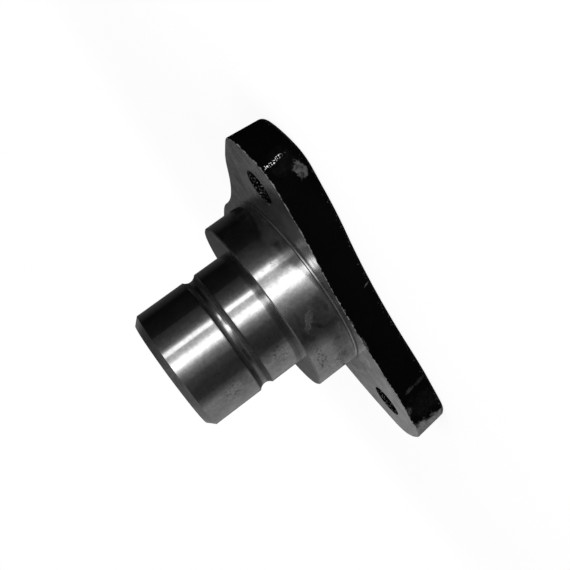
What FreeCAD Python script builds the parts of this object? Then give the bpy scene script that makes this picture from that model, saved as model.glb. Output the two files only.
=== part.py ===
import FreeCAD, Part
import math
import os

# Bearing housing: a stepped tube turned on one side of a three-lobed bolting flange, all one casting.
# Millimetres. The origin is the centre of the flange's back face, +Z runs along the bore to the
# nose, and one of the bolt holes lies on +X.

# Bore: a bearing seat at each end, with a narrower stretch between them as their shoulders
BEARING_SEAT_DIAMETER = 40.0
BEARING_SEAT_DEPTH = 12.0
BEARING_SHOULDER = 3.0
SEAT_MOUTH_CHAMFER = 0.8

# Nose: the long journal, with a broad chamfer at its end and one shallow round-bottomed groove
NOSE_WALL = 6.0
NOSE_LENGTH = 43.5
NOSE_CHAMFER = 2.75
GROOVE_WIDTH = 5.6
GROOVE_DEPTH = 1.4
GROOVE_FROM_SPIGOT = 13.7

# Spigot: the register that centres the housing in its plate, with a fine V relief at its root
SPIGOT_STEP = 12.0
SPIGOT_LENGTH = 18.0
SPIGOT_EDGE_CHAMFER = 0.5
RELIEF_WIDTH = 0.9
RELIEF_DEPTH = 0.3

# Flange: three lobes, straight-sided towards their ends, with a shallow scallop between each two
FLANGE_THICKNESS = 14.3
LOBE_COUNT = 3
BOLT_CENTRE_FROM_SPIGOT = 21.5
BOLT_HOLE_DIAMETER = 13.0
BOLT_HOLE_CHAMFER = 0.4
BOLT_CENTRE_TO_SIDE = 19.4
BOLT_CENTRE_TO_END = 17.9
LOBE_END_RADIUS = 36.0
LOBE_CORNER_RADIUS = 13.0
SCALLOP_DEPTH = 4.4
SCALLOP_RADIUS = 130.0
SHOULDER_RADIUS = 75.0
SIDE_DRAFT_DEGREES = 5.0
BACK_EDGE_RADIUS = 2.0
FRONT_EDGE_CHAMFER = 0.4

# Radii and levels that follow from those sizes
BEARING_SEAT_RADIUS = BEARING_SEAT_DIAMETER / 2
THROUGH_RADIUS = BEARING_SEAT_RADIUS - BEARING_SHOULDER
NOSE_RADIUS = BEARING_SEAT_RADIUS + NOSE_WALL
SPIGOT_RADIUS = NOSE_RADIUS + SPIGOT_STEP
BOLT_CIRCLE_RADIUS = SPIGOT_RADIUS + BOLT_CENTRE_FROM_SPIGOT
SPIGOT_FRONT = FLANGE_THICKNESS + SPIGOT_LENGTH
NOSE_END = SPIGOT_FRONT + NOSE_LENGTH

# The flange outline, from the axis: its straight sides and the ends of its lobes
HALF_PITCH = math.pi / LOBE_COUNT
SIDE_DISTANCE = BOLT_CIRCLE_RADIUS * math.cos(HALF_PITCH) + BOLT_CENTRE_TO_SIDE
LOBE_REACH = BOLT_CIRCLE_RADIUS + BOLT_CENTRE_TO_END


def polar(radius, angle):
    """Point at a distance and direction from the axis, in the plane z = 0."""
    return FreeCAD.Vector(radius * math.cos(angle), radius * math.sin(angle), 0)


def towards(start, end, distance):
    """Point at a distance from start, on the line to end."""
    return start + (end - start).normalize() * distance


def arc_about(centre, start, end):
    """Arc from start to end, the short way round its centre."""
    middle = towards(centre, (start + end) * 0.5, start.distanceToPoint(centre))
    return Part.Arc(start, middle, end).toShape()


def lobe_flank(inset):
    """Points and centres of half a lobe, from the scallop's middle to the lobe's tip.

    They are drawn with the scallop's middle on +X and the lobe on its left, inset from the
    front outline: centres stay, convex radii shrink and the scallop's radius grows.
    """
    scallop_centre = FreeCAD.Vector(SIDE_DISTANCE - SCALLOP_DEPTH + SCALLOP_RADIUS, 0, 0)
    blend = SCALLOP_RADIUS + SHOULDER_RADIUS
    shoulder_run = math.sqrt(blend ** 2 - (blend - SCALLOP_DEPTH) ** 2)
    shoulder_centre = FreeCAD.Vector(SIDE_DISTANCE - SHOULDER_RADIUS, shoulder_run, 0)
    end_centre = polar(LOBE_REACH - LOBE_END_RADIUS, HALF_PITCH)
    corner_reach = LOBE_END_RADIUS - LOBE_CORNER_RADIUS
    corner_x = SIDE_DISTANCE - LOBE_CORNER_RADIUS
    corner_run = math.sqrt(corner_reach ** 2 - (corner_x - end_centre.x) ** 2)
    corner_centre = FreeCAD.Vector(corner_x, end_centre.y + corner_run, 0)
    side = SIDE_DISTANCE - inset
    return {
        "scallop_centre": scallop_centre,
        "scallop_middle": FreeCAD.Vector(SIDE_DISTANCE - SCALLOP_DEPTH - inset, 0, 0),
        "scallop_end": towards(scallop_centre, shoulder_centre, SCALLOP_RADIUS + inset),
        "shoulder_centre": shoulder_centre,
        "side_start": FreeCAD.Vector(side, shoulder_centre.y, 0),
        "side_end": FreeCAD.Vector(side, corner_centre.y, 0),
        "corner_centre": corner_centre,
        "corner_end": towards(end_centre, corner_centre, LOBE_END_RADIUS - inset),
        "end_centre": end_centre,
        "tip": polar(LOBE_REACH - inset, HALF_PITCH),
    }


def half_lobe_edges(inset):
    """Edges of half a lobe, from the scallop's middle to the lobe's tip."""
    p = lobe_flank(inset)
    return [
        arc_about(p["scallop_centre"], p["scallop_middle"], p["scallop_end"]),
        arc_about(p["shoulder_centre"], p["scallop_end"], p["side_start"]),
        Part.makeLine(p["side_start"], p["side_end"]),
        arc_about(p["corner_centre"], p["side_end"], p["corner_end"]),
        arc_about(p["end_centre"], p["corner_end"], p["tip"]),
    ]


def turned(shape, angle):
    """Copy of a shape, turned about the axis by an angle in radians."""
    copy = shape.copy()
    copy.rotate(FreeCAD.Vector(0, 0, 0), FreeCAD.Vector(0, 0, 1), math.degrees(angle))
    return copy


def flange_outline(inset, z):
    """Closed outline of the flange at a height, inset from its front outline."""
    edges = []
    for lobe in range(LOBE_COUNT):
        waist = (2 * lobe - 1) * HALF_PITCH
        for edge in half_lobe_edges(inset):
            edges.append(turned(edge, waist))
            mirrored = edge.mirror(FreeCAD.Vector(0, 0, 0), FreeCAD.Vector(0, 1, 0))
            edges.append(turned(mirrored, waist))
    wire = Part.Wire(Part.__sortEdges__(edges))
    wire.translate(FreeCAD.Vector(0, 0, z))
    return wire


def edges_at(shape, z):
    """The shape's edges that lie flat at one height."""
    flat = []
    for edge in shape.Edges:
        box = edge.BoundBox
        if abs(box.ZMin - z) < 1e-6 and abs(box.ZMax - z) < 1e-6:
            flat.append(edge)
    return flat


def flange_plate():
    """The flange, drafted towards its back, with a round back edge and a broken front one."""
    draft_inset = FLANGE_THICKNESS * math.tan(math.radians(SIDE_DRAFT_DEGREES))
    back = flange_outline(draft_inset, 0)
    front = flange_outline(0, FLANGE_THICKNESS)
    plate = Part.makeLoft([back, front], True, True).removeSplitter()
    plate = plate.makeFillet(BACK_EDGE_RADIUS, edges_at(plate, 0))
    return plate.makeChamfer(FRONT_EDGE_CHAMFER, edges_at(plate, FLANGE_THICKNESS))


def ring_point(radius, z):
    """Point of a section through the axis."""
    return FreeCAD.Vector(radius, 0, z)


def revolved(edges):
    """Solid of revolution about the axis from the edges of a closed section."""
    face = Part.Face(Part.Wire(edges))
    return face.revolve(FreeCAD.Vector(0, 0, 0), FreeCAD.Vector(0, 0, 1), 360)


def line_chain(points):
    """Straight edges through a run of points."""
    return [Part.makeLine(a, b) for a, b in zip(points, points[1:])]


def turned_body():
    """Nose and spigot as turned, solid through, from the flange's back face up."""
    relief_top = FLANGE_THICKNESS + RELIEF_WIDTH
    relief_bottom = ring_point(SPIGOT_RADIUS - RELIEF_DEPTH, FLANGE_THICKNESS + RELIEF_WIDTH / 2)
    groove_low = ring_point(NOSE_RADIUS, SPIGOT_FRONT + GROOVE_FROM_SPIGOT)
    groove_deep = ring_point(NOSE_RADIUS - GROOVE_DEPTH, groove_low.z + GROOVE_WIDTH / 2)
    groove_high = ring_point(NOSE_RADIUS, groove_low.z + GROOVE_WIDTH)

    edges = line_chain([
        ring_point(0, 0),
        ring_point(SPIGOT_RADIUS, 0),
        ring_point(SPIGOT_RADIUS, FLANGE_THICKNESS),
        relief_bottom,
        ring_point(SPIGOT_RADIUS, relief_top),
        ring_point(SPIGOT_RADIUS, SPIGOT_FRONT - SPIGOT_EDGE_CHAMFER),
        ring_point(SPIGOT_RADIUS - SPIGOT_EDGE_CHAMFER, SPIGOT_FRONT),
        ring_point(NOSE_RADIUS, SPIGOT_FRONT),
        groove_low,
    ])
    edges.append(Part.Arc(groove_low, groove_deep, groove_high).toShape())
    edges += line_chain([
        groove_high,
        ring_point(NOSE_RADIUS, NOSE_END - NOSE_CHAMFER),
        ring_point(NOSE_RADIUS - NOSE_CHAMFER, NOSE_END),
        ring_point(0, NOSE_END),
        ring_point(0, 0),
    ])
    return revolved(edges)


def stepped_bore():
    """The space inside: a chamfered bearing seat at each end and the through bore between."""
    mouth_radius = BEARING_SEAT_RADIUS + SEAT_MOUTH_CHAMFER
    return revolved(line_chain([
        ring_point(0, 0),
        ring_point(mouth_radius, 0),
        ring_point(BEARING_SEAT_RADIUS, SEAT_MOUTH_CHAMFER),
        ring_point(BEARING_SEAT_RADIUS, BEARING_SEAT_DEPTH),
        ring_point(THROUGH_RADIUS, BEARING_SEAT_DEPTH),
        ring_point(THROUGH_RADIUS, NOSE_END - BEARING_SEAT_DEPTH),
        ring_point(BEARING_SEAT_RADIUS, NOSE_END - BEARING_SEAT_DEPTH),
        ring_point(BEARING_SEAT_RADIUS, NOSE_END - SEAT_MOUTH_CHAMFER),
        ring_point(mouth_radius, NOSE_END),
        ring_point(0, NOSE_END),
        ring_point(0, 0),
    ]))


def bolt_holes():
    """The space of the through holes, one in each lobe, with their edges broken."""
    hole_radius = BOLT_HOLE_DIAMETER / 2
    mouth_radius = hole_radius + BOLT_HOLE_CHAMFER
    hole = revolved(line_chain([
        ring_point(0, 0),
        ring_point(mouth_radius, 0),
        ring_point(hole_radius, BOLT_HOLE_CHAMFER),
        ring_point(hole_radius, FLANGE_THICKNESS - BOLT_HOLE_CHAMFER),
        ring_point(mouth_radius, FLANGE_THICKNESS),
        ring_point(0, FLANGE_THICKNESS),
        ring_point(0, 0),
    ]))
    hole.translate(polar(BOLT_CIRCLE_RADIUS, 0))
    return [turned(hole, 2 * lobe * HALF_PITCH) for lobe in range(LOBE_COUNT)]


def bearing_housing():
    """The whole housing as one solid."""
    blank = flange_plate().fuse(turned_body())
    housing = blank.cut([stepped_bore()] + bolt_holes())
    return housing.removeSplitter().Solids[0]


os.makedirs("parts", exist_ok=True)
bearing_housing().exportStep("parts/bearing_housing.step")
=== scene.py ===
import math

import bpy
from mathutils import Matrix, Vector

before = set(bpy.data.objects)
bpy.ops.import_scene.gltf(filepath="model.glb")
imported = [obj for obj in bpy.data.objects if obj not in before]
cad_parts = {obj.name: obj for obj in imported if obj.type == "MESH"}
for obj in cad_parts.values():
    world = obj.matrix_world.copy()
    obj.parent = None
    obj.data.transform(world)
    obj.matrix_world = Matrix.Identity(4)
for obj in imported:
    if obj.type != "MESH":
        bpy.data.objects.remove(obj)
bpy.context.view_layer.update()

# Looks for the bearing housing: turned steel on the nose and spigot, a milled and darkened flange
# face, and black forging skin round the flange's edge. The scene is in metres; the material works
# in millimetres, in the part's own frame (+Z along the bore, one bolt hole on +X).
# Painted light and shade: a lobe's glint, an edge highlight, corner and hole shade, a cast shadow.

NODE = "bearing_housing"
MM_PER_METRE = 1000.0
WHITE = (1.0, 1.0, 1.0, 1.0)

# Sizes of the part that the material follows, in millimetres
FLANGE_THICKNESS = 14.3
SPIGOT_FRONT = 32.3
SPIGOT_RADIUS = 38.0
SPIGOT_CHAMFER = 0.5
NOSE_RADIUS = 26.0
NOSE_END = 75.8
NOSE_CHAMFER = 2.75
GROOVE_MIDDLE = 48.8
GROOVE_HALF_WIDTH = 2.8
BORE_RADIUS = 20.0
BOLT_CIRCLE_RADIUS = 59.5
BOLT_HOLE_RADIUS = 6.5
FACED_RING_RADIUS = 46.5

# The flange's outline: lobes with a round end, and a shallow scallop in each side between them
LOBE_ANGLE = math.radians(120)
LOBE_REACH = 77.4
LOBE_END_RADIUS = 36.0
LOBE_END_START = (52.4, 62.4)
SIDE_DISTANCE = 49.15
SCALLOP_DEPTH = 4.4
SCALLOP_RUN = 42.2

# Part of a surface's direction that is along +Z, as ranges: where flat starts, where upright ends
# towards the front and towards the back, and where a bolt hole's wall and edge end
FLAT_FACING = (0.9, 0.97)
UPRIGHT_FACING = (0.8, 0.9)
BACK_FACING = (-0.97, -0.9)
HOLE_FACING = (0.9, 0.95)

# Finishes: reflectance, roughness and how metallic it is
NOSE_FINISH = (0.60, 0.11, 1.0)
SPIGOT_FINISH = (0.60, 0.105, 1.0)
RING_FINISH = (0.60, 0.18, 0.99)
FACE_FINISH = (0.45, 0.22, 0.985)
STEP_FINISH = (0.36, 0.16, 1.0)
GROOVE_FINISH = (0.56, 0.12, 1.0)
WALL_FINISH = (0.09, 0.52, 1.0)
CHAMFER_FINISH = (0.34, 0.26, 1.0)
BORE_FINISH = (0.55, 0.16, 1.0)
# The bolt holes' walls are painted near black as shade inside the holes; their specks are paler
HOLE_SHADE_FINISH = (0.0005, 0.50, 0.0)
HOLE_SPECK_FINISH = (0.11, 0.50, 0.0)
# The glint's finish is a painted highlight: pale colour where the skin would catch the light
PAINTED_GLINT_FINISH = (0.90, 0.40, 0.1)
SKIN_FINISH = (0.001, 0.55, 0.0)
BARE_FINISH = (0.34, 0.34, 1.0)
PALE_FINISH = (0.16, 0.50, 0.3)
DIRT_AND_SHADE_FINISH = (0.03, 0.30, 1.0)
SMEAR_FINISH = (0.75, 0.24, 0.97)
SPECULAR_LEVEL = 0.01
ANISOTROPY = 0.3
ANISOTROPY_TURN = 0.25

# Waves that make edges ragged: noise per millimetre, detail, roughness, and swing
MARK_WAVE = (0.5, 5.0, 0.7, 2.2)
RING_WAVE = (0.35, 3.0, 0.5, 3.0)
RIM_WAVE = (0.7, 4.0, 0.7, 6.0)
FRONT_EDGE_WAVE = (0.6, 4.0, 0.6, 1.3)
BARE_END_WAVE = (0.45, 4.0, 0.65, 0.10)
ROOT_WAVE = (0.5, 4.0, 0.6, 1.4)
FOOT_WAVE = (0.5, 4.0, 0.6, 1.0)

# Patches cut from noise: noise per millimetre, detail, roughness, and the values they fade between
BACK_GRAINS = (1.4, 2.0, 0.5, 0.66, 0.70)
PALE_CLOUDS = (0.8, 3.0, 0.6, 0.35, 0.65)
PAINTED_GLINT_DOTS = (1.9, 2.0, 0.6, 0.575, 0.61)
BARE_END_CLOUDS = (0.5, 4.0, 0.6, 0.35, 0.65)
PITS = (1.1, 4.0, 0.7, 0.50, 0.62)
HOLE_SPECKS = (1.8, 2.0, 0.6, 0.60, 0.63)
HAZE_FLAKES = (0.22, 5.0, 0.6, 0.49, 0.56)
BLOTCHES = (0.09, 4.0, 0.6, 0.3, 0.7)
SPECKLES = (0.6, 4.0, 0.7, 0.3, 0.7)
MOTTLES = (0.16, 6.0, 0.65, 0.3, 0.7)

# Tone or strength between the patches and in them
PALE_CLOUD_TONES = (0.3, 1.2)
BARE_END_CLOUD_TONES = (0.35, 1.0)
BLOTCH_TONES = (0.85, 1.08)
SPECKLE_TONES = (0.85, 1.1)
MOTTLE_TONES = (0.66, 1.22)

# Roughness: how it varies everywhere, and how many times rougher the hazy and scuffed places are
ROUGHNESS_NOISE = (0.3, 4.0, 0.6)
ROUGHNESS_SPREAD = (0.85, 1.15)
NOSE_HAZE = 1.15
SPIGOT_HAZE = 1.4
SCUFFED_TIMES = 2.2

# Fine relief: noise per millimetre, detail, roughness, and height in millimetres
TURNING_RELIEF = (1.2, 4.0, 0.7, 0.0022)
FACE_RELIEF = (0.9, 5.0, 0.6, 0.026)
SKIN_RELIEF = (0.7, 5.0, 0.6, 0.12)
SCUFF_NOISE = (1.9, 4.0, 0.7)
NOSE_SCUFF_HEIGHT = 0.0035
SPIGOT_SCUFF_HEIGHT = 0.0075
GROOVE_SCUFF_HEIGHT = 0.0100

# Where dirt, wear and painted shade lie, as ranges they fade over in millimetres, and how strong
# they are
# Root: painted shade in the corner at the nose's root
ROOT_SHADE_REACH = (1.1, 2.0)
# Foot: painted shade on the flange's face at the spigot's foot
FOOT_SHADE_REACH = (0.7, 1.8)
# Edges: dark lines along the groove's edges
EDGE_DARKENING_REACH = (0.2, 0.6)
WALL_FILM_START = (0.2, 1.4)
RIM_SKIN_REACH = (0.3, 0.6)
# Front edge: a pale line, partly wear and partly a painted highlight on the edge
FRONT_EDGE_WEAR_AND_HIGHLIGHT = (-0.2, 0.0)
BACK_GRAIN_REACH = (1.6, 2.2)
ROOT_SHADE = 0.35
FOOT_SHADE = 0.6
LOW_EDGE_DARKENING = 0.3
HIGH_EDGE_DARKENING = 0.4
PIT_DIRT = 0.85
WALL_FILM = 0.85
BACK_GRAIN_STRENGTH = 0.4

# The bare end of one lobe, in radians from the lobe's middle; it leans by so much per millimetre
BARE_END_REACH = (0.135, 0.185)
BARE_END_LEAN = 0.0035

# Marks: azimuth in degrees, radius and height of the middle, half length round the part, half
# length along it, lean in degrees, strength. Each is an oval that reaches MARK_DEPTH into the part
# and fades out over MARK_EDGE, in parts of its half lengths.
MARK_DEPTH = 4.0
MARK_EDGE = (0.65, 1.1)
# A painted highlight: the dotted glint on the end of the lobe on +X, in pale colour
PAINTED_GLINTS = (
    (-6.5, 76.3, 10.2, 0.8, 4.3, 9, 1.0),
)
PALE_MARKS = (
    (-11.2, 73.4, 4.0, 3.4, 2.0, 15, 0.34),
    (-7.5, 75.5, 7.5, 5.0, 5.0, 0, 0.01),
    (-104.0, 68.0, 6.0, 11.0, 9.0, 0, 0.012),
    (-52.8, 44.2, 2.5, 0.28, 1.4, 22, 0.4),
    (-98.5, 62.0, 9.3, 0.7, 2.1, 0, 0.10),
    (-98.5, 62.0, 3.8, 0.6, 2.6, 0, 0.05),
    (-75.5, 47.0, 14.3, 3.4, 0.9, 0, 0.25),
    (-63.5, 44.8, 14.3, 1.8, 0.8, 0, 0.2),
    (-56.5, 44.8, 14.3, 1.2, 0.7, 0, 0.2),
    (-103.0, 67.0, 14.0, 1.8, 2.0, 0, 0.15),
)
# Dark marks: stains, and at -128 degrees a painted shadow of the spigot on the flange's face
DARK_STAINS_AND_SHADE = (
    (-59.3, 38.0, 23.4, 0.9, 3.2, -53, 0.6),
    (-53.0, 38.0, 17.5, 1.4, 1.1, 0, 0.4),
    (-64.0, 38.0, 27.5, 1.6, 1.4, 0, 0.35),
    (14.0, 38.0, 28.5, 7.0, 3.0, 20, 0.3),
    (24.0, 38.0, 21.0, 5.0, 6.0, 35, 0.35),
    (-61.0, 38.0, 28.5, 3.0, 2.0, 25, 0.35),
    (-48.0, 38.0, 19.5, 3.5, 2.6, 40, 0.28),
    (-63.0, 38.0, 18.5, 2.6, 3.4, 0, 0.35),
    (-50.0, 38.0, 28.2, 4.0, 0.8, 0, 0.28),
    (9.0, 69.0, 14.3, 5.0, 3.0, 0, 0.3),
    (23.0, 50.0, 14.3, 4.0, 3.0, 0, 0.4),
    # Makes the groove's bottom darker round -80 degrees
    (-80.0, 24.6, 48.8, 17.0, 1.3, 0, 0.38),
    (-77.0, 26.0, 54.0, 3.2, 2.2, 20, 0.28),
    (-73.0, 26.0, 44.0, 2.2, 2.6, 0, 0.28),
    (29.0, 26.0, 41.5, 0.6, 0.4, 0, 0.7),
    (-55.0, 26.0, 61.0, 0.6, 0.3, 30, 0.5),
    (-57.0, 26.0, 39.0, 0.8, 0.4, 0, 0.5),
    (-16.8, 38.0, 24.1, 0.2, 0.2, 0, 0.9),
    # Painted shadow of the spigot on the flange's face, by the lobe at -120 degrees
    (-128.0, 41.0, 14.3, 20.0, 3.0, 0, 0.5),
)
LIGHT_SMEARS = (
    (-53.5, 38.0, 25.2, 1.7, 5.2, 48, 0.55),
    (-40.0, 38.0, 28.9, 0.25, 0.25, 0, 1.0),
)
SCUFFED_PATCHES = (
    (-90.0, 38.0, 19.5, 6.0, 4.0, 0, 1.0),
    (-8.0, 38.0, 18.5, 5.0, 3.0, 0, 0.3),
)
PITTED_PATCHES = (
    (-78.0, 26.0, 60.0, 5.0, 5.0, 30, 0.55),
    (-77.0, 26.0, 38.5, 6.0, 4.5, 0, 0.6),
    (-80.0, 38.0, 28.3, 10.0, 2.2, 0, 1.0),
    (-98.0, 38.0, 23.0, 8.0, 5.0, 0, 0.6),
    (38.0, 38.0, 24.0, 5.0, 7.0, 0, 0.6),
)

# Camera: where it aims, and from where; the roll lays the nose towards the lower left
CAMERA_TARGET = (0.000855, 0.001318, 0.019044)
CAMERA_AZIMUTH = -32.990
CAMERA_ELEVATION = 8.673
CAMERA_DISTANCE = 0.280194
CAMERA_ROLL = -126.470
CAMERA_LENS = 44.196
CAMERA_SENSOR = 36.0
CAMERA_NEAREST = 0.01

# Studio: a white surround, plain soft lamps, and a grey reflection screen all round the part. Seen
# directly, the floor is white by FLOOR_GLOW near the part and fully white beyond FLOOR_CLEAR.
STUDIO_LEVEL = 0.45
FLOOR_RADIUS = 4.0
FLOOR_SIDES = 96
FLOOR_DROP = 0.0001
FLOOR_COLOUR = (0.85, 0.85, 0.85, 1.0)
FLOOR_GLOW = 0.86
FLOOR_CLEAR = (0.15, 0.40)
SCREEN_STEP = 0.5
SCREEN_APEX = 1.15
APEX_TONE = 0.18
SCREEN_FLOOR = 0.0012
SCREEN_WALL = 0.960

# Section of the reflection screen along one direction: run from the spigot's surface, height, tones
SCREEN_SECTION = (
    (0.022, SCREEN_FLOOR, "foot"),
    (0.080, SCREEN_FLOOR, "foot"),
    (0.088, SCREEN_FLOOR, "near"),
    (0.128, SCREEN_FLOOR, "near"),
    (0.131, SCREEN_FLOOR, "low"),
    (SCREEN_WALL, SCREEN_FLOOR, "low"),
    (SCREEN_WALL, 0.125, "low"),
    (SCREEN_WALL, 0.165, "high"),
    (SCREEN_WALL, 0.250, "high"),
    (SCREEN_WALL, 0.350, "upper"),
    (SCREEN_WALL, 0.600, "upper"),
    (0.800, 0.850, "upper"),
    (0.700, 1.000, "roof"),
)

# Tones of the screen: direction in degrees from the camera's own (counter-clockwise from above),
# and brightness there. Seen from the camera, the spigot mirrors the near level at its foot, the
# other turned surfaces the low one and the flange's face the high one. The rest shows in the
# groove, on chamfers and from other sides.
SCREEN_TONES = {
    "foot": (
        (-180, 0.28), (-85, 0.24), (-62, 0.07), (-24, 0.08), (-4, 0.9), (1, 1.5), (13, 1.5),
        (20, 0.40), (30, 0.07), (80, 0.05), (130, 0.08), (165, 0.28), (180, 0.28),
    ),
    "near": (
        (-180, 0.07), (-120, 0.08), (-90, 0.07), (-60, 0.03), (-30, 0.06), (-14, 0.26),
        (-5, 0.9), (1, 2.2), (10, 2.3), (14, 1.5), (18, 0.7), (21, 0.22), (28, 0.03),
        (60, 0.004), (180, 0.004),
    ),
    "low": (
        (-180, 0.06), (-165, 0.15), (-150, 0.28), (-107, 0.24), (-88, 0.24), (-76, 0.10),
        (-65, 0.035), (-45, 0.030), (-27, 0.06), (-15, 0.20), (-7.5, 0.42), (-2.5, 1.05),
        (2, 2.0), (11, 2.0), (16, 1.0), (20, 0.75), (26.5, 0.60), (27.5, 2.0), (33.5, 2.0),
        (36, 0.50), (41, 0.15), (50, 0.068), (60, 0.040), (68, 0.016), (80, 0.008),
        (118, 0.004), (140, 0.03), (160, 0.06), (180, 0.06),
    ),
    "high": (
        (-180, 0.05), (-173, 0.13), (-167, 0.36), (-160, 0.42), (-120, 0.26), (-80, 0.10),
        (-60, 0.05), (-12, 0.08), (-2, 0.25), (2.5, 3.6), (8.5, 3.6), (13, 0.25), (24, 0.08),
        (40, 0.04), (60, 0.02), (140, 0.02), (165, 0.04), (180, 0.05),
    ),
    "upper": (
        (-180, 0.35), (-119, 0.28), (-100, 0.15), (-60, 0.12), (-24, 0.12), (-3, 0.25),
        (2, 1.5), (10, 1.5), (15, 0.15), (40, 0.13), (70, 0.10), (100, 0.03), (126, 0.02),
        (140, 0.06), (180, 0.35),
    ),
    "roof": (
        (-180, 0.16), (-98, 0.24), (-60, 0.12), (-24, 0.12), (-5, 0.9), (0, 1.6), (8, 1.6),
        (27, 0.45), (44, 0.14), (60, 0.10), (95, 0.04), (140, 0.06), (180, 0.16),
    ),
}


def aim(place, target, roll=0.0):
    """Matrix of something at a place whose -Z looks at the target, rolled about that line."""
    back = (Vector(place) - Vector(target)).normalized()
    turn = back.to_track_quat("Z", "Y").to_matrix().to_4x4()
    return Matrix.Translation(place) @ turn @ Matrix.Rotation(math.radians(roll), 4, "Z")


def around(target, azimuth, elevation, distance):
    """Point at a distance from the target, in a direction given in degrees."""
    a, e = math.radians(azimuth), math.radians(elevation)
    direction = Vector((math.cos(a) * math.cos(e), math.sin(a) * math.cos(e), math.sin(e)))
    return Vector(target) + direction * distance


def add_camera():
    """The camera at the photograph's viewing angle."""
    data = bpy.data.cameras.new("camera")
    data.sensor_width = CAMERA_SENSOR
    data.lens = CAMERA_LENS
    data.clip_start = CAMERA_NEAREST
    camera = bpy.data.objects.new("camera", data)
    place = around(CAMERA_TARGET, CAMERA_AZIMUTH, CAMERA_ELEVATION, CAMERA_DISTANCE)
    camera.matrix_world = aim(place, CAMERA_TARGET, CAMERA_ROLL)
    bpy.context.scene.collection.objects.link(camera)
    bpy.context.scene.camera = camera


def add_lamp(name, azimuth, elevation, distance, size, watts):
    """A square soft lamp that faces the part; its azimuth counts from the camera's."""
    data = bpy.data.lights.new(name, "AREA")
    data.size = size
    data.energy = watts
    lamp = bpy.data.objects.new(name, data)
    place = around(CAMERA_TARGET, CAMERA_AZIMUTH + azimuth, elevation, distance)
    lamp.matrix_world = aim(place, CAMERA_TARGET)
    lamp.visible_glossy = False
    bpy.context.scene.collection.objects.link(lamp)


class Graph:
    """Short ways to add shader nodes to one node tree."""

    def __init__(self, tree):
        self.tree = tree
        tree.nodes.clear()

    def node(self, kind, **settings):
        made = self.tree.nodes.new(kind)
        for name, value in settings.items():
            setattr(made, name, value)
        return made

    def feed(self, socket, value):
        """Links a socket to another one, or sets its value."""
        if isinstance(value, bpy.types.NodeSocket):
            self.tree.links.new(value, socket)
        else:
            socket.default_value = value

    def feed_all(self, sockets, values):
        for socket, value in zip(sockets, values):
            self.feed(socket, value)

    def math(self, operation, *values):
        made = self.node("ShaderNodeMath", operation=operation)
        self.feed_all(made.inputs, values)
        return made.outputs[0]

    def vector(self, operation, *values):
        made = self.node("ShaderNodeVectorMath", operation=operation)
        self.feed_all(made.inputs, values)
        return made.outputs["Value" if operation == "LENGTH" else "Vector"]

    def combine(self, x, y, z):
        made = self.node("ShaderNodeCombineXYZ")
        self.feed_all(made.inputs, (x, y, z))
        return made.outputs[0]

    def separate(self, vector):
        made = self.node("ShaderNodeSeparateXYZ")
        self.feed(made.inputs[0], vector)
        return made.outputs

    def ramp_up(self, value, low, high):
        """0 below low, 1 above high, smooth between."""
        made = self.node("ShaderNodeMapRange", interpolation_type="SMOOTHSTEP")
        self.feed(made.inputs["Value"], value)
        made.inputs["From Min"].default_value = low
        made.inputs["From Max"].default_value = high
        return made.outputs[0]

    def ramp_down(self, value, low, high):
        """1 below low, 0 above high, smooth between."""
        return self.math("SUBTRACT", 1.0, self.ramp_up(value, low, high))

    def mix(self, share, a, b):
        """a where share is 0, b where it is 1."""
        made = self.node("ShaderNodeMix", data_type="FLOAT")
        self.feed_all((made.inputs[0], made.inputs[2], made.inputs[3]), (share, a, b))
        return made.outputs[0]

    def all_of(self, *masks):
        """Product of masks."""
        product = masks[0]
        for mask in masks[1:]:
            product = self.math("MULTIPLY", product, mask)
        return product

    def strongest(self, share, weighted):
        """Greatest of a share and of other masks, each times its strength."""
        for mask, strength in weighted:
            share = self.math("MAXIMUM", share, self.math("MULTIPLY", mask, strength))
        return share

    def noise(self, vector, scale, detail, roughness):
        made = self.node("ShaderNodeTexNoise")
        self.feed(made.inputs["Vector"], vector)
        made.inputs["Scale"].default_value = scale
        made.inputs["Detail"].default_value = detail
        made.inputs["Roughness"].default_value = roughness
        return made.outputs[0]

    def wave(self, vector, texture):
        """Noise about zero, times a swing."""
        *noise, swing = texture
        return self.math("MULTIPLY", self.math("SUBTRACT", self.noise(vector, *noise), 0.5), swing)

    def patches(self, vector, texture):
        """Noise cut into patches: 0 between them, 1 in them."""
        *noise, low, high = texture
        return self.ramp_up(self.noise(vector, *noise), low, high)

    def relief(self, vector, texture):
        """Noise times a height."""
        *noise, height = texture
        return self.math("MULTIPLY", self.noise(vector, *noise), height)

    def mix_shaders(self, share, first, second):
        made = self.node("ShaderNodeMixShader")
        self.feed_all(made.inputs, (share, first, second))
        return made.outputs[0]

    def show(self, kind, surface):
        """Ends the tree with its output, of the given kind."""
        output = self.node(kind)
        self.feed(output.inputs["Surface"], surface)


def new_material(name):
    """An empty material, and its graph."""
    material = bpy.data.materials.new(name)
    material.use_nodes = True
    return material, Graph(material.node_tree)


def seen_share(g):
    """1 for the rays that show the background: camera, glossy and transmission rays."""
    path = g.node("ShaderNodeLightPath")
    seen = g.math("MAXIMUM", path.outputs["Is Camera Ray"], path.outputs["Is Glossy Ray"])
    return g.math("MAXIMUM", seen, path.outputs["Is Transmission Ray"])


def background(g, strength):
    """A white background of some strength."""
    made = g.node("ShaderNodeBackground")
    made.inputs["Color"].default_value = WHITE
    made.inputs["Strength"].default_value = strength
    return made.outputs[0]


def add_world():
    """White where it is seen, and a plain grey level as a light."""
    world = bpy.data.worlds.new("studio")
    bpy.context.scene.world = world
    world.use_nodes = True
    g = Graph(world.node_tree)
    surface = g.mix_shaders(seen_share(g), background(g, STUDIO_LEVEL), background(g, 1.0))
    g.show("ShaderNodeOutputWorld", surface)


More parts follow.
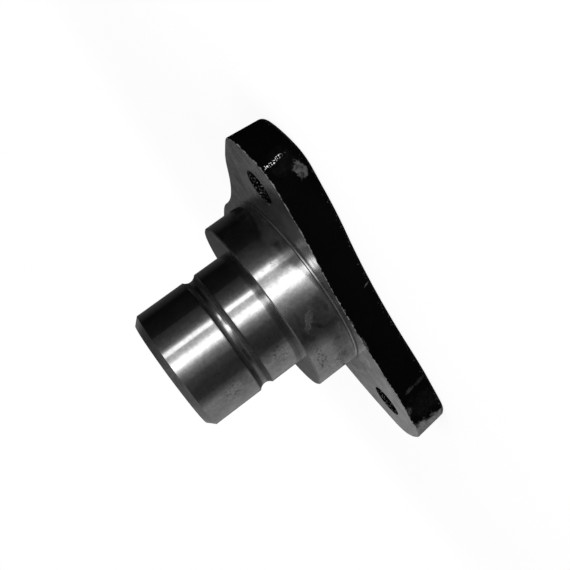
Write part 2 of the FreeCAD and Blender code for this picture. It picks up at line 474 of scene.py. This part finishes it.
def floor_material():
    """White floor that keeps a soft shadow of the part."""
    material, g = new_material("floor_white")
    matte = g.node("ShaderNodeBsdfDiffuse")
    matte.inputs["Color"].default_value = FLOOR_COLOUR
    glow = g.node("ShaderNodeEmission")
    glow.inputs["Strength"].default_value = 1.0
    place = g.node("ShaderNodeTexCoord").outputs["Object"]
    away = g.ramp_up(g.vector("LENGTH", place), *FLOOR_CLEAR)
    share = g.all_of(seen_share(g), g.mix(away, FLOOR_GLOW, 1.0))
    g.show("ShaderNodeOutputMaterial", g.mix_shaders(share, matte.outputs[0], glow.outputs[0]))
    return material


def add_floor():
    """A round floor just under the flange's back face."""
    bpy.ops.mesh.primitive_circle_add(vertices=FLOOR_SIDES, radius=FLOOR_RADIUS, fill_type="NGON")
    floor = bpy.context.object
    floor.name = "floor"
    floor.location.z = -FLOOR_DROP
    floor.data.materials.append(floor_material())


def tone_at(tones, direction):
    """Brightness in a direction, from a list of tones."""
    for (start, first), (end, last) in zip(tones, tones[1:]):
        if start <= direction <= end:
            return first + (last - first) * (direction - start) / (end - start)
    return tones[-1][1]


def screen_plan(direction, run):
    """Plan point at a run from the spigot's surface, along the ray that it mirrors that way."""
    normal = math.radians(CAMERA_AZIMUTH + direction / 2)
    heading = math.radians(CAMERA_AZIMUTH + direction)
    start = SPIGOT_RADIUS / MM_PER_METRE
    x = start * math.cos(normal) + run * math.cos(heading)
    y = start * math.sin(normal) + run * math.sin(heading)
    return x, y


def screen_points():
    """The screen's apex, then its section in one direction after another, with their tones."""
    points = [(0.0, 0.0, SCREEN_APEX)]
    tones = [APEX_TONE]
    for column in range(round(360 / SCREEN_STEP) + 1):
        direction = -180 + column * SCREEN_STEP
        for run, height, level in SCREEN_SECTION:
            points.append((*screen_plan(direction, run), height))
            tones.append(tone_at(SCREEN_TONES[level], direction))
    return points, tones


def screen_faces():
    """Faces between neighbouring sections of the screen, and up to its apex."""
    columns = round(360 / SCREEN_STEP) + 1
    rows = len(SCREEN_SECTION)
    faces = []
    for column in range(columns):
        here = 1 + column * rows
        there = 1 + (column + 1) % columns * rows
        for row in range(rows - 1):
            faces.append((here + row, there + row, there + row + 1, here + row + 1))
        faces.append((here + rows - 1, there + rows - 1, 0))
    return faces


def screen_material():
    """Glows by the tone that each point of the screen carries."""
    material, g = new_material("screen_glow")
    tone = g.node("ShaderNodeAttribute", attribute_name="tone")
    glow = g.node("ShaderNodeEmission")
    g.feed(glow.inputs["Strength"], tone.outputs["Fac"])
    g.show("ShaderNodeOutputMaterial", glow.outputs[0])
    return material


def add_reflection_screen():
    """A far screen round and over the part, which only reflections see."""
    points, tones = screen_points()
    mesh = bpy.data.meshes.new("reflection_screen")
    mesh.from_pydata(points, [], screen_faces())
    mesh.attributes.new("tone", "FLOAT", "POINT").data.foreach_set("value", tones)
    mesh.materials.append(screen_material())
    screen = bpy.data.objects.new("reflection_screen", mesh)
    bpy.context.scene.collection.objects.link(screen)
    screen.visible_camera = False
    screen.visible_diffuse = False
    screen.visible_shadow = False
    screen.visible_transmission = False


class Place:
    """Where a point of the part lies, in millimetres, as sockets of one node tree."""

    def __init__(self, g):
        coordinates = g.node("ShaderNodeTexCoord").outputs["Object"]
        self.point = g.vector("MULTIPLY", coordinates, (MM_PER_METRE,) * 3)
        self.x, self.y, self.z = g.separate(self.point)
        self.radius = g.vector("LENGTH", g.combine(self.x, self.y, 0.0))
        self.azimuth = g.math("ARCTAN2", self.y, self.x)
        self.facing = g.separate(g.node("ShaderNodeNewGeometry").outputs["Normal"])[2]
        self.ragged = g.wave(self.point, MARK_WAVE)
        self.off_groove = g.math("ABSOLUTE", g.math("SUBTRACT", self.z, GROOVE_MIDDLE))

        along, across = self.folded(g, 0.0)
        self.hole_distance = self.span(g, along, BOLT_CIRCLE_RADIUS, across, 0.0)
        end_gap = self.gap_to_end(g, along, across)
        self.rim_gap = g.math("MINIMUM", end_gap, self.gap_to_side(g))

    def span(self, g, a, a_middle, b, b_middle):
        """Distance in a plane, from a point given by its two coordinates."""
        return g.vector("LENGTH", g.combine(
            g.math("SUBTRACT", a, a_middle), g.math("SUBTRACT", b, b_middle), 0.0))

    def folded(self, g, offset):
        """Coordinates along and across the nearest of three like directions, 120 degrees apart."""
        turned = g.math("SUBTRACT", self.azimuth, offset)
        nearest = g.math("ROUND", g.math("DIVIDE", turned, LOBE_ANGLE))
        within = g.math("SUBTRACT", turned, g.math("MULTIPLY", nearest, LOBE_ANGLE))
        along = g.math("MULTIPLY", self.radius, g.math("COSINE", within))
        across = g.math("MULTIPLY", self.radius, g.math("SINE", within))
        return along, across

    def gap_to_end(self, g, along, across):
        """Distance to the round end of a lobe; large where the lobe has its sides."""
        from_middle = self.span(g, along, LOBE_REACH - LOBE_END_RADIUS, across, 0.0)
        gap = g.math("SUBTRACT", LOBE_END_RADIUS, from_middle)
        inboard = g.ramp_down(along, *LOBE_END_START)
        return g.math("ADD", gap, g.math("MULTIPLY", inboard, SIDE_DISTANCE))

    def gap_to_side(self, g):
        """Distance to the scalloped side between two lobes."""
        along, across = self.folded(g, LOBE_ANGLE / 2)
        hollow = g.ramp_down(g.math("ABSOLUTE", across), 0.0, SCALLOP_RUN)
        side = g.math("SUBTRACT", SIDE_DISTANCE, g.math("MULTIPLY", hollow, SCALLOP_DEPTH))
        return g.math("SUBTRACT", side, along)

    def ring_distance(self, g, radius, z):
        """Distance from a ring round the axis."""
        return self.span(g, self.radius, radius, self.z, z)

    def level(self, g, z, below, above, fade):
        """Mask of the heights from so much below z to so much above it."""
        over = g.ramp_up(self.z, z - below, z - below + fade)
        under = g.ramp_down(self.z, z + above, z + above + fade)
        return g.all_of(over, under)


def regions(g, place):
    """Masks of the part's differently finished surfaces."""
    flat = g.ramp_up(place.facing, *FLAT_FACING)
    upright = g.all_of(
        g.ramp_down(place.facing, *UPRIGHT_FACING), g.ramp_up(place.facing, *BACK_FACING))
    front = g.all_of(flat, place.level(g, FLANGE_THICKNESS, below=0.3, above=0.7, fade=0.2))
    in_ring = g.ramp_down(
        g.math("ADD", place.radius, g.wave(place.point, RING_WAVE)),
        FACED_RING_RADIUS - 0.5, FACED_RING_RADIUS + 0.5)
    outside = g.ramp_up(place.radius, SPIGOT_RADIUS + 2, SPIGOT_RADIUS + 3)
    by_hole = g.ramp_down(place.hole_distance, BOLT_HOLE_RADIUS + 0.35, BOLT_HOLE_RADIUS + 0.55)
    off_hole = g.ramp_up(place.hole_distance, BOLT_HOLE_RADIUS + 0.55, BOLT_HOLE_RADIUS + 0.65)
    on_flange = g.ramp_down(place.z, FLANGE_THICKNESS + 0.05, FLANGE_THICKNESS + 0.1)
    nose_chamfer = g.all_of(
        g.ramp_up(place.z, NOSE_END - NOSE_CHAMFER, NOSE_END - NOSE_CHAMFER + 0.1),
        g.ramp_up(place.radius, BORE_RADIUS + 1.2, BORE_RADIUS + 1.6))
    chamfer_foot = SPIGOT_FRONT - SPIGOT_CHAMFER
    chamfer_top = SPIGOT_RADIUS - SPIGOT_CHAMFER
    spigot_chamfer = g.all_of(
        g.ramp_up(place.z, chamfer_foot - 0.05, chamfer_foot + 0.05),
        g.ramp_up(place.radius, chamfer_top - 0.05, chamfer_top + 0.05))
    return {
        "front": front,
        "ring": g.all_of(front, in_ring),
        "step": g.all_of(flat, place.level(g, SPIGOT_FRONT, below=0.3, above=0.2, fade=0.1)),
        "hole": g.all_of(outside, by_hole, g.ramp_down(place.facing, *HOLE_FACING)),
        "skin": g.all_of(outside, upright, on_flange, off_hole),
        "groove": g.all_of(
            g.ramp_down(place.off_groove, GROOVE_HALF_WIDTH - 0.02, GROOVE_HALF_WIDTH + 0.05),
            g.ramp_down(place.radius, NOSE_RADIUS - 0.1, NOSE_RADIUS - 0.02),
            g.ramp_up(place.radius, BORE_RADIUS + 2, BORE_RADIUS + 3)),
        "chamfer": g.math("MAXIMUM", nose_chamfer, spigot_chamfer),
        "spigot": g.all_of(
            g.ramp_up(place.radius, NOSE_RADIUS + 2, NOSE_RADIUS + 3),
            g.ramp_up(place.z, FLANGE_THICKNESS, FLANGE_THICKNESS + 0.1)),
        "bore": g.ramp_down(place.radius, BORE_RADIUS + 0.9, BORE_RADIUS + 1.1),
    }


def mark(g, place, azimuth, radius, z, half_width, half_height, lean):
    """Mask of a ragged oval mark that lies on the part's surface round one point."""
    a = math.radians(azimuth)
    mapping = g.node("ShaderNodeMapping", vector_type="TEXTURE")
    g.feed(mapping.inputs["Vector"], place.point)
    mapping.inputs["Location"].default_value = (radius * math.cos(a), radius * math.sin(a), z)
    mapping.inputs["Rotation"].default_value = (math.radians(lean), 0.0, a)
    mapping.inputs["Scale"].default_value = (MARK_DEPTH, half_width, half_height)
    from_middle = g.vector("LENGTH", mapping.outputs[0])
    return g.ramp_down(g.math("ADD", from_middle, place.ragged), *MARK_EDGE)


def marked(g, place, marks):
    """Greatest share of any of the listed marks."""
    return g.strongest(0.0, [(mark(g, place, *shape), strength) for *shape, strength in marks])


def pale_share(g, place):
    """Share of pale skin: listed marks, the front edge (wear and painted highlight), back grains.
    """
    front = g.math("ADD", place.z, g.wave(place.point, FRONT_EDGE_WAVE))
    front = g.ramp_up(front, *(FLANGE_THICKNESS + offset for offset in FRONT_EDGE_WEAR_AND_HIGHLIGHT))
    at_back = g.ramp_down(place.z, *BACK_GRAIN_REACH)
    grains = g.all_of(at_back, g.patches(place.point, BACK_GRAINS))
    clouds = g.mix(g.patches(place.point, PALE_CLOUDS), *PALE_CLOUD_TONES)
    marks = g.math("MULTIPLY", marked(g, place, PALE_MARKS), clouds)
    return g.math("MAXIMUM", marks, g.strongest(front, [(grains, BACK_GRAIN_STRENGTH)]))


def painted_glint_share(g, place):
    """Share of the painted glint: a dotted highlight painted in pale colour on the end of one lobe.
    """
    return g.all_of(marked(g, place, PAINTED_GLINTS), g.patches(place.point, PAINTED_GLINT_DOTS))


def bare_end_share(g, place):
    """Share of bare metal on the end of the lobe at -120 degrees."""
    from_middle = g.math("ABSOLUTE", g.math("SUBTRACT", place.azimuth, -LOBE_ANGLE))
    from_middle = g.math("ADD", from_middle, g.wave(place.point, BARE_END_WAVE))
    from_middle = g.math("SUBTRACT", from_middle, g.math("MULTIPLY", place.z, BARE_END_LEAN))
    clouds = g.mix(g.patches(place.point, BARE_END_CLOUDS), *BARE_END_CLOUD_TONES)
    return g.all_of(g.ramp_down(from_middle, *BARE_END_REACH), clouds)


def wall_share(g, place, masks):
    """Share of the dull film on the groove's walls, on both sides of its bright bottom."""
    return g.all_of(masks["groove"], g.ramp_up(place.off_groove, *WALL_FILM_START), WALL_FILM)


def dirt_and_shade_share(g, place, masks):
    """Share of darkening: painted corner shade and shadow, dark groove edges, stains and small
    pits.
    """
    root = place.ring_distance(g, NOSE_RADIUS, SPIGOT_FRONT)
    root = g.math("ADD", root, g.wave(place.point, ROOT_WAVE))
    foot = g.math("SUBTRACT", place.radius, SPIGOT_RADIUS)
    foot = g.math("ADD", foot, g.wave(place.point, FOOT_WAVE))
    low_edge = place.ring_distance(g, NOSE_RADIUS, GROOVE_MIDDLE - GROOVE_HALF_WIDTH)
    high_edge = place.ring_distance(g, NOSE_RADIUS, GROOVE_MIDDLE + GROOVE_HALF_WIDTH)
    pits = g.all_of(marked(g, place, PITTED_PATCHES), g.patches(place.point, PITS))
    return g.strongest(marked(g, place, DARK_STAINS_AND_SHADE), (
        # painted shade in the corner at the nose's root
        (g.ramp_down(root, *ROOT_SHADE_REACH), ROOT_SHADE),
        # painted shade on the flange's face at the spigot's foot
        (g.all_of(masks["front"], g.ramp_down(foot, *FOOT_SHADE_REACH)), FOOT_SHADE),
        # dark lines along the groove's edges
        (g.ramp_down(low_edge, *EDGE_DARKENING_REACH), LOW_EDGE_DARKENING),
        (g.ramp_down(high_edge, *EDGE_DARKENING_REACH), HIGH_EDGE_DARKENING),
        (pits, PIT_DIRT),
    ))


def rim_skin_share(g, place, masks):
    """Share of the skin that creeps over the edge of the flange's face."""
    gap = g.math("ADD", place.rim_gap, g.wave(place.point, RIM_WAVE))
    return g.all_of(masks["front"], g.ramp_down(gap, *RIM_SKIN_REACH))


def surface_height(g, place, masks):
    """Fine relief in millimetres: turning marks, scuffs, hammered grain on the face, rough skin."""
    lathe = g.combine(0.0, 0.0, g.math("ADD", place.z, place.radius))
    scuff_height = g.mix(masks["spigot"], NOSE_SCUFF_HEIGHT, SPIGOT_SCUFF_HEIGHT)
    scuff_height = g.mix(masks["groove"], scuff_height, GROOVE_SCUFF_HEIGHT)
    scuffs = g.math("MULTIPLY", g.noise(place.point, *SCUFF_NOISE), scuff_height)
    turned = g.math("ADD", g.relief(lathe, TURNING_RELIEF), scuffs)
    face = g.mix(masks["ring"], g.relief(place.point, FACE_RELIEF), scuffs)
    bare = g.mix(masks["front"], turned, face)
    return g.mix(masks["skin"], bare, g.relief(place.point, SKIN_RELIEF))


def layered(g, base, layers):
    """Values of the base, with each layer's values mixed over them by its mask."""
    values = list(base)
    for mask, finish in layers:
        values = [g.mix(mask, under, over) for under, over in zip(values, finish)]
    return values


def finish_values(g, place, masks):
    """Reflectance, roughness and metallic share of the finish that lies at each point."""
    hole_specks = g.patches(place.point, HOLE_SPECKS)
    return layered(g, NOSE_FINISH, (
        (masks["spigot"], SPIGOT_FINISH),
        (masks["bore"], BORE_FINISH),
        (masks["step"], STEP_FINISH),
        (masks["groove"], GROOVE_FINISH),
        (wall_share(g, place, masks), WALL_FINISH),
        (masks["chamfer"], CHAMFER_FINISH),
        (marked(g, place, LIGHT_SMEARS), SMEAR_FINISH),
        (masks["front"], FACE_FINISH),
        (masks["ring"], RING_FINISH),
        (dirt_and_shade_share(g, place, masks), DIRT_AND_SHADE_FINISH),
        (rim_skin_share(g, place, masks), SKIN_FINISH),
        # painted shade: the bolt holes' walls near black
        (masks["hole"], HOLE_SHADE_FINISH),
        (g.all_of(masks["hole"], hole_specks), HOLE_SPECK_FINISH),
        (masks["skin"], SKIN_FINISH),
        (g.all_of(masks["skin"], pale_share(g, place)), PALE_FINISH),
        (g.all_of(masks["skin"], bare_end_share(g, place)), BARE_FINISH),
        # painted highlight: the glint on the end of the lobe on +X
        (g.all_of(masks["skin"], painted_glint_share(g, place)), PAINTED_GLINT_FINISH),
    ))


def tone_variation(g, place, masks):
    """What the reflectance is multiplied by: blotches, speckles, and mottling on the face."""
    blotched = g.mix(g.patches(place.point, BLOTCHES), *BLOTCH_TONES)
    speckled = g.mix(g.patches(place.point, SPECKLES), *SPECKLE_TONES)
    mottled = g.mix(g.patches(place.point, MOTTLES), *MOTTLE_TONES)
    return g.all_of(blotched, speckled, g.mix(masks["front"], 1.0, mottled))


def roughness_variation(g, place, masks):
    """What the roughness is multiplied by: unevenness, flakes of haze, and scuffed patches."""
    uneven = g.mix(g.noise(place.point, *ROUGHNESS_NOISE), *ROUGHNESS_SPREAD)
    haze = g.mix(masks["spigot"], NOSE_HAZE, SPIGOT_HAZE)
    hazy = g.mix(g.patches(place.point, HAZE_FLAKES), 1.0, haze)
    scuffed = g.mix(marked(g, place, SCUFFED_PATCHES), 1.0, SCUFFED_TIMES)
    return g.all_of(uneven, hazy, scuffed)


def housing_material():
    """Turned steel, milled flange face and black forging skin, told apart by where they lie."""
    material, g = new_material("housing_steel")
    place = Place(g)
    masks = regions(g, place)
    tone, rough, metal = finish_values(g, place, masks)
    tone = g.all_of(tone, tone_variation(g, place, masks))
    rough = g.all_of(rough, roughness_variation(g, place, masks))

    bump = g.node("ShaderNodeBump")
    bump.inputs["Distance"].default_value = 1 / MM_PER_METRE
    bump.inputs["Strength"].default_value = 1.0
    g.feed(bump.inputs["Height"], surface_height(g, place, masks))

    steel = g.node("ShaderNodeBsdfPrincipled")
    g.feed(steel.inputs["Base Color"], g.combine(tone, tone, tone))
    g.feed(steel.inputs["Metallic"], metal)
    g.feed(steel.inputs["Roughness"], rough)
    g.feed(steel.inputs["Normal"], bump.outputs[0])
    steel.inputs["Specular IOR Level"].default_value = SPECULAR_LEVEL
    steel.inputs["Anisotropic"].default_value = ANISOTROPY
    steel.inputs["Anisotropic Rotation"].default_value = ANISOTROPY_TURN
    round_axis = g.combine(g.math("MULTIPLY", place.y, -1.0), place.x, 0.0)
    g.feed(steel.inputs["Tangent"], round_axis)
    g.show("ShaderNodeOutputMaterial", steel.outputs[0])
    return material


def dress_housing(housing):
    """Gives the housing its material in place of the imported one."""
    housing.material_slots[0].material = housing_material()


bpy.context.scene.view_settings.view_transform = "Standard"
add_camera()
add_world()
add_floor()
add_reflection_screen()
add_lamp("key_lamp", azimuth=20, elevation=35, distance=0.9, size=0.6, watts=7.0)
add_lamp("fill_lamp", azimuth=-60, elevation=30, distance=1.1, size=0.8, watts=6.0)
dress_housing(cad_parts[NODE])
